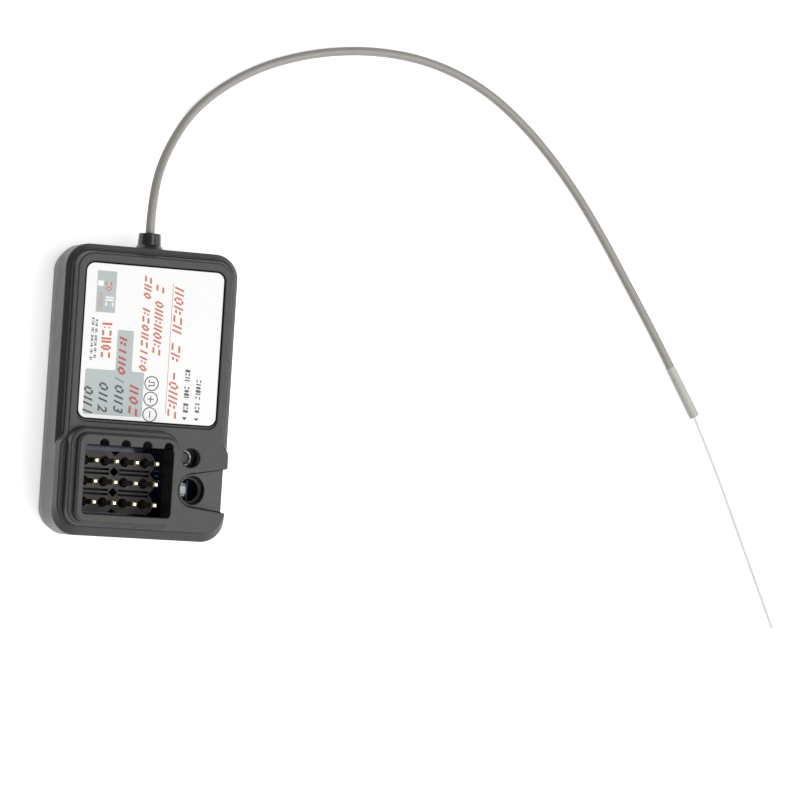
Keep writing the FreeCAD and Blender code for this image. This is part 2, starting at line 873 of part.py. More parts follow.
def tube(points, radius, name):
    path = rounded_path(points, name)
    direction = vector(*points[1]) - vector(*points[0])
    profile = Part.Wire([Part.makeCircle(radius, vector(*points[0]), direction)])
    return path.makePipeShell([profile], True, True)


def sleeve_frame():
    """Start, end and direction of the sleeve, in line with the coax's last run."""
    start = vector(*coax_route[-1])
    direction = (start - vector(*coax_route[-2])).normalize()
    return start, start + direction * sleeve_length, direction


def aerial_coax():
    return tube(coax_route, coax_radius, "aerial_coax")


def aerial_sleeve():
    start, end, direction = sleeve_frame()
    first_radius = sleeve_start_diameter / 2
    last_radius = sleeve_end_diameter / 2
    return Part.makeCone(first_radius, last_radius, sleeve_length, start, direction)


def aerial_core():
    start, end, direction = sleeve_frame()
    first = end + direction * cord_joint_gap
    route = [(first.x, first.y, first.z)] + core_route_after_sleeve
    return tube(route, core_diameter / 2, "aerial_core")


def lead_route():
    """From the nozzle's mouth, inwards and down to just over the board."""
    level = board_top + coax_radius + lead_over_board
    return [
        (0, nozzle_end, nozzle_height),
        (0, lead_bend_y, nozzle_height),
        (0, lead_landing_y, level),
        (0, lead_end_y, level),
    ]


def aerial_lead_inside():
    return tube(lead_route(), coax_radius, "aerial_lead_inside")


def aerial_solder_joints():
    """A wide joint round the screen and a small one at the lead's end."""
    level = lead_route()[-1][2]
    lead = cylinder(coax_radius, lead_landing_y - lead_end_y, 0, lead_end_y, level, (0, 1, 0))
    width, length, height = screen_joint_size
    screen = centred_box(width, length, height, 0, lead_end_y + screen_joint_offset, board_top)
    screen = soften_edges_at(screen, board_top + height, screen_joint_round).cut(lead)
    tip_start = vector(0, lead_end_y - tip_joint_radius, board_top)
    tip = Part.makeCone(tip_joint_radius, tip_joint_radius / 2, tip_joint_height, tip_start)
    return Part.makeCompound([tip] + screen.Solids)


def export(name, shape):
    shape.exportStep("parts/%s.step" % name)
    print(name, "solids", len(shape.Solids), "valid", shape.isValid(), "volume", round(shape.Volume, 3))


def main():
    os.makedirs("parts", exist_ok=True)
    for name, x, y in pin_places():
        export(name, pin(x, y))
    export("header_block_left", header_block([0, 1]))
    export("header_block_right", header_block([2, 3]))
    makers = [
        top_housing, bottom_cover, label, circuit_board, key_switch_base, key_switch_cover,
        key_contact_dome, key_plunger, status_led_base, status_led_lens, radio_chip, microcontroller,
        crystal, voltage_regulator, chip_capacitors, chip_resistors, housing_screws, aerial_coax,
        aerial_sleeve, aerial_core, aerial_lead_inside, aerial_solder_joints,
    ]
    for make in makers:
        export(make.__name__, make())


main()
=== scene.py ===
"""Looks for a three channel surface receiver: finishes for its moulded box, pins, board, key and light,
the print on its label, and its thin coaxial aerial.

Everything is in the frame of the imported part. Sizes and places in capitals are in millimetres, apart from
the studio's, which state their units."""

import math

import bmesh
import bpy
from bpy.props import FloatProperty, FloatVectorProperty, IntProperty, PointerProperty
from mathutils import Matrix, Vector


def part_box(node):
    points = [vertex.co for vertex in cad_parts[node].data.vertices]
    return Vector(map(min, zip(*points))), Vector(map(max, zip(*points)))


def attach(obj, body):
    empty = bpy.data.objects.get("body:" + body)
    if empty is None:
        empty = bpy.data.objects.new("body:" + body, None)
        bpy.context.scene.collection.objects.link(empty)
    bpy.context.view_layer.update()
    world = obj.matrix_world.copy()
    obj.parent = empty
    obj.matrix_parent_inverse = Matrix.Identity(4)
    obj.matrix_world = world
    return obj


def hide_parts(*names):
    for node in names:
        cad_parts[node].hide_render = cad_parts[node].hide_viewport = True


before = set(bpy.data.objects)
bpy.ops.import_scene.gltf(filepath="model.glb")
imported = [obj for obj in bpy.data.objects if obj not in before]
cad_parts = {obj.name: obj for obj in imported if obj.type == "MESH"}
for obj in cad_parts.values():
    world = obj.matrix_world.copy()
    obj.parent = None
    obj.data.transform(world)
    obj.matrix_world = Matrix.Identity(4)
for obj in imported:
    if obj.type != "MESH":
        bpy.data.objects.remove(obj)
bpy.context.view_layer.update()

bl_info = {
    "name": "Surface receiver looks",
    "version": (1, 0, 0),
    "blender": (4, 5, 0),
    "location": "3D View > Sidebar > Receiver",
    "description": "Finishes, label print, aerial and studio for the packed receiver",
    "category": "Object",
}

MM = 0.001
BODY = "receiver"


def srgb(code):
    """A six digit hex colour, as seen on a screen, as linear red, green and blue."""
    parts = [int(code[i:i + 2], 16) / 255 for i in (0, 2, 4)]
    return [c / 12.92 if c <= 0.04045 else ((c + 0.055) / 1.055) ** 2.4 for c in parts]


def opaque(colour):
    return (*colour[:3], 1.0)


def colour_prop(name, description, code):
    return FloatVectorProperty(
        name=name, description=description, subtype="COLOR", size=3, min=0.0, max=1.0, default=srgb(code))


def length_prop(name, description, millimetres):
    return FloatProperty(
        name=name, description=description, unit="LENGTH", precision=5, min=0.0, default=millimetres * MM)


def share_prop(name, description, value):
    return FloatProperty(
        name=name, description=description, subtype="FACTOR", min=0.0, max=1.0, default=value)


class HousingLook(bpy.types.PropertyGroup):
    plastic: colour_prop("Plastic", "Colour of the moulded housing", "272727")
    grain: length_prop("Grain", "Width of one grain of the mould's spark texture", 0.16)
    edge: length_prop("Edge", "Radius of the moulding's slightly rounded edges", 0.26)
    grain_depth: length_prop("Grain depth", "Depth of the mould's spark texture", 0.005)
    roughness: share_prop("Roughness", "Roughness of the textured faces", 0.38)
    polished: share_prop("Polished", "Roughness of the smooth nozzle", 0.16)


class LabelLook(bpy.types.PropertyGroup):
    film: colour_prop("Film", "Colour of the label's film", "f9f9f8")
    field: colour_prop("Grey field", "Ink of the grey fields", "b4bcbc")
    red: colour_prop("Red", "Red ink on the white film", "cc6b50")
    deep_red: colour_prop("Deep red", "Red ink on the grey fields", "b4484c")
    dark: colour_prop("Dark", "Dark grey ink", "3d4246")
    ink: length_prop("Ink", "Thickness of one layer of ink", 0.01)
    stroke: length_prop("Stroke", "Width of the strokes in the lines of print", 0.25)
    slant: FloatProperty(
        name="Slant", description="Lean of the print along its line, as a share of its height", default=0.36)


class ContactLook(bpy.types.PropertyGroup):
    plating: colour_prop("Plating", "Colour of the gold on the pins' tips", "f5eaca")
    shaft: colour_prop("Shaft", "Colour of the painted shade on the shafts below the tips", "453c2c")
    carrier: colour_prop("Carrier", "Colour of the pin carriers", "4a4745")


class BoardLook(bpy.types.PropertyGroup):
    mask: colour_prop("Mask", "Colour of the board's solder mask", "141c30")
    marking: colour_prop("Marking", "Colour of the marking on the board", "7f8aa0")


class KeyLightLook(bpy.types.PropertyGroup):
    sheet: colour_prop("Sheet metal", "Colour of the key's plated cover", "b4b0a8")
    # The bead's pale colour is a painted highlight on the cover's lip.
    bead: colour_prop("Bead", "Colour of the bright rolled lip round the plunger", "f2eee4")
    plunger: colour_prop("Plunger", "Colour of the key's plunger", "6c6c6d")
    lens: colour_prop("Lens", "Colour of the light's lens", "f6fff0")
    carrier: colour_prop("Light's carrier", "Colour of the light's carrier", "e4e8e2")


class AerialLook(bpy.types.PropertyGroup):
    jacket: colour_prop("Jacket", "Colour of the lead's jacket", "a29e99")
    sleeve: colour_prop("Sleeve", "Colour of the shrink sleeve", "c4c2bc")
    tip: colour_prop("Tip", "Colour of the bare tip", "f8f8f5")
    sides: IntProperty(
        name="Roundness", description="Steps in a quarter of the lead's round section", default=6, min=2)


class StudioLook(bpy.types.PropertyGroup):
    floor: colour_prop("Floor", "Colour of the floor", "f2f2f2")
    floor_glow: share_prop("Floor glow", "Light that the floor seems to give, in the picture only", 0.6)
    air: share_prop("Air", "Strength of the even light from all round", 0.16)
    panel: FloatProperty(
        name="Panel", description="Power of the soft panel overhead", unit="POWER", default=5.35, min=0.0)
    side: FloatProperty(
        name="Side", description="Power of the soft panel on the right", unit="POWER", default=1.5, min=0.0)


LOOKS = {
    "receiver_housing": HousingLook,
    "receiver_label": LabelLook,
    "receiver_contacts": ContactLook,
    "receiver_board": BoardLook,
    "receiver_key_light": KeyLightLook,
    "receiver_aerial": AerialLook,
    "receiver_studio": StudioLook,
}

# Nodes and materials


def add_node(tree, kind, props=None, values=None, links=None):
    """Adds a node, sets its properties and its sockets' values, and links its sockets from other outputs."""
    node = tree.nodes.new(kind)
    for name, value in (props or {}).items():
        setattr(node, name, value)
    for socket, value in (values or {}).items():
        node.inputs[socket].default_value = value
    for socket, source in (links or {}).items():
        tree.links.new(source, node.inputs[socket])
    return node


def new_material(name):
    material = bpy.data.materials.new(name)
    material.use_nodes = True
    tree = material.node_tree
    tree.nodes.clear()
    return material, tree


def finish_surface(tree, values, links):
    shader = add_node(tree, "ShaderNodeBsdfPrincipled", values=values, links=links)
    add_node(tree, "ShaderNodeOutputMaterial", links={"Surface": shader.outputs["BSDF"]})


def grain_noise(tree, width, detail=2.0):
    """A noise whose lumps are about as wide as the given width in metres."""
    place = add_node(tree, "ShaderNodeTexCoord")
    noise = add_node(
        tree, "ShaderNodeTexNoise", values={"Scale": 1 / width, "Detail": detail, "Roughness": 0.55},
        links={"Vector": place.outputs["Object"]})
    return noise.outputs["Fac"]


def along(tree, axis, start, end, at_start=0.0, at_end=1.0):
    """A value that runs from one number to another between two places along an axis, in metres."""
    place = add_node(tree, "ShaderNodeTexCoord")
    axes = add_node(tree, "ShaderNodeSeparateXYZ", links={"Vector": place.outputs["Object"]})
    run = add_node(
        tree, "ShaderNodeMapRange",
        values={"From Min": start, "From Max": end, "To Min": at_start, "To Max": at_end},
        links={"Value": axes.outputs[axis]})
    return run.outputs["Result"]


def between(tree, low, high, share):
    """A number between two others, by a share that another node gives."""
    run = add_node(
        tree, "ShaderNodeMapRange", values={"To Min": low, "To Max": high}, links={"Value": share})
    return run.outputs["Result"]


def blend(tree, first, second, share):
    """A colour between two others, by a share that another node gives."""
    mix = add_node(
        tree, "ShaderNodeMix", {"data_type": "RGBA"}, {"A": opaque(first), "B": opaque(second)},
        {"Factor": share})
    return mix.outputs["Result"]


def roughen(tree, height, strength, depth):
    """The surface's direction on a relief of the given depth in metres."""
    bump = add_node(
        tree, "ShaderNodeBump", values={"Strength": strength, "Distance": depth}, links={"Height": height})
    return bump.outputs["Normal"]


def shaded(colour, share):
    return [min(1.0, c * share) for c in colour]


def moulded_plastic(
        name, colour, grain, depth, roughness, ior=1.53, lightest=1.25, spread=0.06, gloss=(1, 1, 1)):
    """A moulded plastic: even colour with a slight mottle, and a fine grain that breaks up its highlights."""
    material, tree = new_material(name)
    fine = grain_noise(tree, grain)
    broad = grain_noise(tree, grain * 9)
    finish_surface(
        tree, {"IOR": ior, "Specular Tint": opaque(gloss)},
        {"Base Color": blend(tree, colour, shaded(colour, lightest), broad),
         "Roughness": between(tree, roughness - spread, roughness + spread, broad),
         "Normal": roughen(tree, fine, 0.6, depth)})
    return material


def plated_metal(name, colour, roughness, streak):
    """A plated metal: bright, with faint draw marks as wide as the streak."""
    material, tree = new_material(name)
    marks = grain_noise(tree, streak, 4.0)
    finish_surface(
        tree, {"Metallic": 1.0},
        {"Base Color": blend(tree, shaded(colour, 0.82), colour, marks),
         "Roughness": between(tree, roughness * 0.7, roughness * 1.4, marks)})
    return material


def dress(node, material):
    """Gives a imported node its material."""
    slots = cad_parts[node].data.materials
    slots.clear()
    slots.append(material)


def take_on(piece, material):
    """Gives a new piece its material and lets it ride on the receiver."""
    piece.data.materials.clear()
    piece.data.materials.append(material)
    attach(piece, BODY)


# Flat pieces of ink, made from outlines


def clear_selection():
    bpy.ops.object.select_all(action="DESELECT")


def place_corners(piece, points, level):
    """Moves the selected corners of the mesh in edit mode to the given places, in millimetres.
    A place without a height of its own takes the level."""
    edit = bmesh.from_edit_mesh(piece.data)
    corners = [v for v in edit.verts if v.select]
    for corner, (x, y, *height) in zip(corners, points):
        z = height[0] if height else level
        corner.co = (x * MM, y * MM, z * MM)
    bmesh.update_edit_mesh(piece.data)


def start_flat(name, points, level):
    """Starts a flat piece with its first outline, and stays in edit mode."""
    clear_selection()
    bpy.ops.mesh.primitive_circle_add(vertices=len(points), radius=MM, fill_type="NGON", location=(0, 0, 0))
    piece = bpy.context.active_object
    piece.name = name
    bpy.ops.object.mode_set(mode="EDIT")
    place_corners(piece, points, level)
    return piece


def add_outline(piece, points, level):
    """Adds one more outline to the flat piece in edit mode, and leaves only that one selected."""
    bpy.ops.mesh.select_all(action="DESELECT")
    bpy.ops.mesh.primitive_circle_add(vertices=len(points), radius=MM, fill_type="NGON", location=(0, 0, 0))
    place_corners(piece, points, level)


def thicken(piece, thickness):
    """Raises the flat outlines by the ink's thickness, closes them and leaves edit mode."""
    bpy.ops.mesh.select_all(action="SELECT")
    bpy.ops.mesh.extrude_region_move(TRANSFORM_OT_translate={"value": (0, 0, thickness)})
    bpy.ops.mesh.select_all(action="SELECT")
    bpy.ops.mesh.normals_make_consistent(inside=False)
    bpy.ops.object.mode_set(mode="OBJECT")


def flat_piece(name, outlines, level, thickness):
    piece = start_flat(name, outlines[0], level)
    for points in outlines[1:]:
        add_outline(piece, points, level)
    thicken(piece, thickness)
    return piece


# Lines of print that hold no letters: each mark fills the place of one with a few plain strokes

STROKES = {
    "posts": lambda w, h: [(0, 0, w, 1), (1 - w, 0, 1, 1)],
    "rails": lambda w, h: [(0, 0.02, 1, 0.02 + h), (0, 0.98 - h, 1, 0.98)],
    "gate": lambda w, h: [(0, 0, w, 1), (1.9 * w, 0.6, 1, 0.6 + h), (1.9 * w, 0.15, 1, 0.15 + h)],
    "sides": lambda w, h: [
        (0.26, 0, 0.74, h), (0.26, 1 - h, 0.74, 1), (0, 0.2, w, 0.8), (1 - w, 0.2, 1, 0.8)],
    "post": lambda w, h: [(0.5 - w / 2, 0, 0.5 + w / 2, 1)],
    "block": lambda w, h: [(0, 0, 1, 1)],
    "dash": lambda w, h: [(0, 0.5 - h / 2, 1, 0.5 + h / 2)],
}


def mark(kind, base, start, height, width, stroke, slant):
    """The strokes of one mark. Lines run towards -Y with the marks' feet at x = base."""
    outlines = []
    for u0, v0, u1, v1 in STROKES[kind](stroke / width, stroke / height):
        corners = []
        for u, v in ((u0, v0), (u1, v0), (u1, v1), (u0, v1)):
            corners.append((base + v * height, start - u * width - slant * v * height))
        outlines.append(corners)
    return outlines


def lines_of_marks(rows, look):
    """Lines of marks, one for each row. A row's first number is the x of its marks' feet. Then come the y
    where it starts, the marks' height, width and step, and their stroke's width and lean, where None stands
    for the look's own. The row ends with the kinds of its marks, in which a point leaves a gap."""
    outlines = []
    for base, start, height, width, step, stroke, slant, kinds in rows:
        stroke = look.stroke / MM if stroke is None else stroke
        slant = look.slant if slant is None else slant
        for i, kind in enumerate(kinds.split()):
            if kind in STROKES:
                outlines += mark(kind, base, start - i * step, height, width, stroke, slant)
    return outlines


def bar(x0, y0, x1, y1):
    """A straight bar between two values of x and two of y."""
    return [(x0, y1), (x0, y0), (x1, y0), (x1, y1)]


# Cords


def smooth_cord(name, points, diameter, sides):
    """One smooth NURBS cord along its route's control points, in millimetres."""
    data = bpy.data.curves.new(name, "CURVE")
    data.dimensions = "3D"
    spline = data.splines.new("NURBS")
    spline.points.add(len(points) - 1)
    for point, place in zip(spline.points, points):
        point.co = (*[c * MM for c in place], 1.0)
    spline.order_u = 3
    spline.use_endpoint_u = True
    spline.resolution_u = 24
    data.bevel_depth = diameter / 2 * MM
    data.bevel_resolution = sides
    data.use_fill_caps = True
    piece = bpy.data.objects.new(name, data)
    bpy.context.scene.collection.objects.link(piece)
    return piece


COAX_DIAMETER = 1.13
CORE_DIAMETER = 0.5
SLEEVE_LENGTH = 7.5
JOINT_GAP = 0.02
# Heights of the axes of the coax, the sleeve and the core where they lie on the floor
COAX_FLOOR = 0.57
SLEEVE_AXIS = 0.685
CORE_FLOOR = 0.255
COAX_ROUTE = [
    (0.0, 19.9, 5.6),
    (0.0, 25.0, 5.6),
    (2.2, 30.9, 2.9),
    (6.4, 37.2, COAX_FLOOR),
    (13.3, 42.4, COAX_FLOOR),
    (21.3, 45.4, COAX_FLOOR),
    (29.5, 46.6, COAX_FLOOR),
    (37.6, 46.0, COAX_FLOOR),
    (45.3, 43.2, COAX_FLOOR),
    (51.9, 38.4, COAX_FLOOR),
    (57.7, 32.5, COAX_FLOOR),
    (62.8, 25.9, COAX_FLOOR),
    (67.3, 19.2, COAX_FLOOR),
    (71.2, 13.4, SLEEVE_AXIS),
    (74.1, 8.8, SLEEVE_AXIS),
]
CORE_ROUTE_AFTER_SLEEVE = [
    (81.8, -4.3, 0.42),
    (85.35, -11.7, CORE_FLOOR),
    (88.85, -19.1, CORE_FLOOR),
    (91.75, -25.3, CORE_FLOOR),
]


def extruded_jacket(name, colour, roughness, ior):
    """A smooth extruded tube wall: satin, with faint unevenness and a little handling dirt."""
    material, tree = new_material(name)
    broad = grain_noise(tree, 2.4 * MM, 3.0)
    fine = grain_noise(tree, 0.2 * MM)
    finish_surface(
        tree, {"Roughness": roughness, "IOR": ior},
        {"Base Color": blend(tree, shaded(colour, 0.86), colour, broad),
         "Normal": roughen(tree, fine, 0.3, 0.003 * MM)})
    return material


class RECEIVER_OT_aerial(bpy.types.Operator):
    """Lays the coaxial lead and its bare tip along their routes, and finishes the sleeve between them"""
    bl_idname = "receiver.lay_aerial"
    bl_label = "Lay aerial"

    def execute(self, context):
        look = context.scene.receiver_aerial
        jacket = extruded_jacket("Vinyl jacket, extruded", look.jacket, roughness=0.38, ior=1.53)
        lead = smooth_cord("aerial_lead", COAX_ROUTE, COAX_DIAMETER, look.sides)
        take_on(lead, jacket)
        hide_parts("aerial_coax")
        dress("aerial_lead_inside", jacket)
        dress("aerial_sleeve", extruded_jacket(
            "Polyolefin sleeve, heat shrunk", look.sleeve, roughness=0.5, ior=1.49))
        last, before = Vector(COAX_ROUTE[-1]), Vector(COAX_ROUTE[-2])
        start = last + (last - before).normalized() * (SLEEVE_LENGTH + JOINT_GAP)
        tip = smooth_cord("aerial_tip", [tuple(start)] + CORE_ROUTE_AFTER_SLEEVE, CORE_DIAMETER, look.sides)
        take_on(tip, self.tip_material(look))
        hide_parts("aerial_core")
        return {"FINISHED"}

    def tip_material(self, look):
        """Fluoropolymer core: waxy and faintly see-through, so light spreads inside it."""
        material, tree = new_material("Fluoropolymer core, extruded")
        broad = grain_noise(tree, 1.5 * MM)
        finish_surface(
            tree,
            {"Roughness": 0.3, "IOR": 1.36, "Subsurface Weight": 0.35, "Subsurface Radius": (1.0, 1.0, 0.95),
             "Subsurface Scale": 0.3 * MM},
            {"Base Color": blend(tree, shaded(look.tip, 0.93), look.tip, broad)})
        return material


# Places along Y between which the shell's texture gives way to the gloss of the nozzle
NOZZLE_START = 18.0
NOZZLE_FULL = 18.4
LABEL_GAP = 0.2
LABEL_GAP_ROUND = 1.2
# Thickness of the dark strips of painted shade in the label's gap and at the ramp's foot
PAINTED_SHADE_DEPTH = 0.012

# The ramp round the light hole: its height at RAMP_START, its fall along X and the flare of its two sides
LIGHT_PLACE = (6.62, -11.56)
RAMP_RADIUS = 2.15
# Width of the strip of painted shade along the ramp's foot
RAMP_SHADE_WIDTH = 0.17
RAMP_START = 4.47
RAMP_END = 11.0
RAMP_TOP = 9.72
RAMP_FALL = 0.404
RAMP_FLARE_BACK = 0.177
RAMP_FLARE_FRONT = 0.113
RAMP_STEPS = 24


class RECEIVER_OT_housing(bpy.types.Operator):
    """Finishes both shells and the screws, and lays dark strips of painted shade round the label and along
    the ramp's foot
    """
    bl_idname = "receiver.finish_housing"
    bl_label = "Finish housing"

    def execute(self, context):
        look = context.scene.receiver_housing
        plastic = self.shell_material(look)
        dress("top_housing", plastic)
        dress("bottom_cover", plastic)
        # Black oxide leaves the steel dark with a dull sheen.
        dress("housing_screws", plated_metal(
            "Screw steel, black oxide", srgb("3a3a3c"), roughness=0.42, streak=0.3 * MM))
        # The dark matt strips laid round the label and along the ramp's foot are painted shade.
        dust_and_shade = self.painted_shade_material()
        take_on(self.label_gap(), dust_and_shade)
        take_on(self.ramp_corner(), dust_and_shade)
        return {"FINISHED"}

    def label_gap(self):
        """The narrow gap round the label, filled with a dark strip of painted shade."""
        low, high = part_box("label")
        x0, y0 = (c / MM - LABEL_GAP for c in low[:2])
        x1, y1 = (c / MM + LABEL_GAP for c in high[:2])
        floor = low[2] / MM
        piece = start_flat("label_gap_painted_shade", [(x0, y0), (x1, y0), (x1, y1), (x0, y1)], floor)
        bpy.ops.mesh.bevel(affect="VERTICES", offset=LABEL_GAP_ROUND * MM, segments=10)
        bpy.ops.mesh.inset(thickness=LABEL_GAP * MM)
        bpy.ops.mesh.delete(type="FACE")
        thicken(piece, PAINTED_SHADE_DEPTH * MM)
        return piece

    def ramp_corner(self):
        """A dark strip of painted shade in the corner at the foot of the ramp's low wall, from edge to edge
        round the light hole.
        """
        outer = self.ramp_line(RAMP_RADIUS)
        inner = self.ramp_line(RAMP_RADIUS - RAMP_SHADE_WIDTH)
        return flat_piece("ramp_corner_painted_shade", [outer + inner[::-1]], 0.0, PAINTED_SHADE_DEPTH * MM)

    def ramp_line(self, radius):
        """A line on the ramp, at one distance from the light hole and straight on to the edge."""
        x, y = LIGHT_PLACE
        run = RAMP_END - x
        line = [(RAMP_END, y + radius + run * RAMP_FLARE_BACK)]
        for i in range(RAMP_STEPS + 1):
            turn = math.pi * (0.5 + i / RAMP_STEPS)
            line.append((x + radius * math.cos(turn), y + radius * math.sin(turn)))
        line.append((RAMP_END, y - radius - run * RAMP_FLARE_FRONT))
        return [(px, py, RAMP_TOP - RAMP_FALL * (px - RAMP_START)) for px, py in line]

    def painted_shade_material(self):
        """Painted shade for the corners: dark and matt, so that they read as thin dark lines."""
        material, tree = new_material("Painted shade, dark and matt")
        specks = grain_noise(tree, 0.2 * MM, 3.0)
        finish_surface(
            tree, {"Roughness": 0.9, "Specular IOR Level": 0.05},
            {"Base Color": blend(tree, srgb("0a0a0b"), srgb("26262a"), specks)})
        return material

    def shell_material(self, look):
        """ABS from a spark-eroded mould: fine satin grain on the faces, smooth and glossy on the nozzle.
        The real grain is about 0.05 mm wide and is drawn coarser, so that it shows."""
        material, tree = new_material("ABS, moulded with spark texture")
        fine = grain_noise(tree, look.grain, 3.0)
        broad = grain_noise(tree, 2.2 * MM)
        dust_and_shade = grain_noise(tree, 0.5 * MM, 4.0)
        satin = between(tree, look.roughness - 0.06, look.roughness + 0.06, broad)
        nozzle = along(tree, "Y", NOZZLE_START * MM, NOZZLE_FULL * MM)
        # Sockets 2 and 3 are the two plain numbers between which the node mixes.
        rough = add_node(
            tree, "ShaderNodeMix", {"data_type": "FLOAT"}, {3: look.polished}, {"Factor": nozzle, 2: satin})
        strength = along(tree, "Y", NOZZLE_START * MM, NOZZLE_FULL * MM, 0.8, 0.05)
        # The moulding's edges are a little round, so they catch thin lines of light.
        edge = add_node(tree, "ShaderNodeBevel", {"samples": 6}, {"Radius": look.edge})
        bump = add_node(
            tree, "ShaderNodeBump", values={"Distance": look.grain_depth},
            links={"Height": fine, "Strength": strength, "Normal": edge.outputs["Normal"]})
        finish_surface(
            tree, {"IOR": 1.53},
            {"Base Color": blend(tree, look.plastic, shaded(look.plastic, 1.3), dust_and_shade),
             "Roughness": rough.outputs["Result"], "Normal": bump.outputs["Normal"]})
        return material


LABEL_TOP = 9.8
FIELD_OUTLINE = [
    (-8.15, 2.5), (-8.15, -3.03), (-0.72, -3.03), (-0.72, 2.5),
    (-2.35, 2.5), (-2.35, 7.5), (-4.4, 7.5), (-4.4, 2.5),
]
PATCH_OUTLINE = [(-7.37, 14.58), (-7.37, 9.49), (-4.93, 9.49), (-4.93, 14.58)]
FIELD_ROUND = 0.25
PATCH_ROUND = 0.12
CIRCLE_X = 0.29
CIRCLE_PLACES = [1.23, -0.69, -2.6]
CIRCLE_RADIUS = 0.92
CIRCLE_LINE = 0.13
CIRCLE_STEPS = 64

# Two short lines, a long line with its rule, and a row of upright marks
RED_LINES = [
    (-1.42, 14.45, 0.94, 0.7, 0.99, None, None,
     "rails posts sides . gate rails sides posts rails post gate sides"),
    (0.1, 13.45, 1.06, 0.72, 0.96, None, None, "rails . sides posts gate posts sides gate rails"),
    (2.5, 13.4, 1.18, 0.85, 1.16, None, None,
     "posts sides gate rails posts . rails gate . dash sides posts gate rails"),
    (-6.39, 8.25, 1.24, 0.66, 0.9, 0.27, 0.0, "gate rails posts sides rails"),
]
RULE = bar(2.24, -2.4, 2.3, 13.7)

# Two tiny lines, and the two lines that end in pointers to the key and the light
TINY_MARKS = "block rails posts block . posts block rails . block posts "
DARK_LINES = [
    (-7.26, 8.55, 0.3, 0.16, 0.217, 0.06, 0.0, TINY_MARKS * 2),
    (-7.72, 8.75, 0.3, 0.17, 0.24, 0.06, 0.0, TINY_MARKS * 2),
    (4.5, 3.27, 0.62, 0.31, 0.415, 0.15, 0.1,
     "posts rails post gate . rails sides posts gate . posts rails posts"),
    (5.98, 2.1, 0.62, 0.31, 0.415, 0.15, 0.1, "rails post sides posts gate rails . gate rails sides"),
]
POINTERS = [
    [(4.4, -2.62), (4.73, -3.01), (5.06, -2.62)],
    [(5.95, -2.66), (6.27, -3.01), (6.59, -2.66)],
]

# On the grey field: red marks at its top and in its right column, and dark marks over the channel numbers,
# with a stroke between the two words of one column
FIELD_RED_LINES = [
    (-4.13, 6.75, 0.98, 0.9, 1.2, 0.28, None, "gate post posts sides"),
    (-2.45, 0.95, 1.15, 0.88, 1.3, 0.28, None, "posts sides rails"),
]
FIELD_DARK_LINES = [
    (-8.17, 0.5, 1.12, 0.9, 1.3, 0.25, None, "sides posts"),
    (-6.3, 1.1, 1.12, 0.9, 1.3, 0.25, None, "sides posts"),
    (-4.33, 0.9, 1.12, 0.9, 1.3, 0.25, None, "sides posts"),
]
FIELD_STROKE = [(-4.36, 1.7), (-4.36, 1.6), (-3.21, 1.0), (-3.21, 1.1)]

# On the grey patch: two white marks with a pale square, and red marks
PATCH_WHITE_LINES = [(-6.22, 11.45, 1.05, 0.5, 0.66, 0.18, 0.0, "posts rails")]
PATCH_SQUARE = bar(-7.28, 12.7, -6.58, 13.35)
PATCH_RED_LINES = [
    (-6.28, 13.3, 0.78, 0.5, 0.62, 0.13, 0.0, "rails sides"),
    (-7.05, 11.85, 0.45, 0.28, 0.38, 0.07, 0.0, "posts rails posts rails posts rails"),
]

# The signs in the rings, as bars round a ring's middle
PULSE = [
    (-0.38, 0.2, -0.26, 0.45), (-0.38, 0.08, 0.38, 0.2), (0.26, -0.2, 0.38, 0.08),
    (-0.38, -0.32, 0.38, -0.2), (-0.38, -0.48, -0.26, -0.32),
]
PLUS = [(-0.42, -0.06, 0.42, 0.06), (-0.06, 0.06, 0.06, 0.42), (-0.06, -0.42, 0.06, -0.06)]
MINUS = [(-0.06, -0.42, 0.06, 0.42)]

# The channel numbers: figure, x of its foot and y of its start
NUMBERS = [("1", -8.17, -2.1), ("2", -6.3, -1.72), ("3", -4.33, -1.72)]
NUMBER_SIZE = 1.65
NUMBER_SLANT = 0.3
NUMBER_WEIGHT = 0.03


def screen_ink(name, colour):
    """Screen printed ink: a flat colour with slightly uneven cover where the mesh left it."""
    material, tree = new_material(name)
    mesh_marks = grain_noise(tree, 0.25 * MM, 3.0)
    thin = [min(1.0, c * 1.08 + 0.01) for c in colour]
    finish_surface(
        tree, {"Roughness": 0.42, "IOR": 1.5}, {"Base Color": blend(tree, colour, thin, mesh_marks)})
    return material


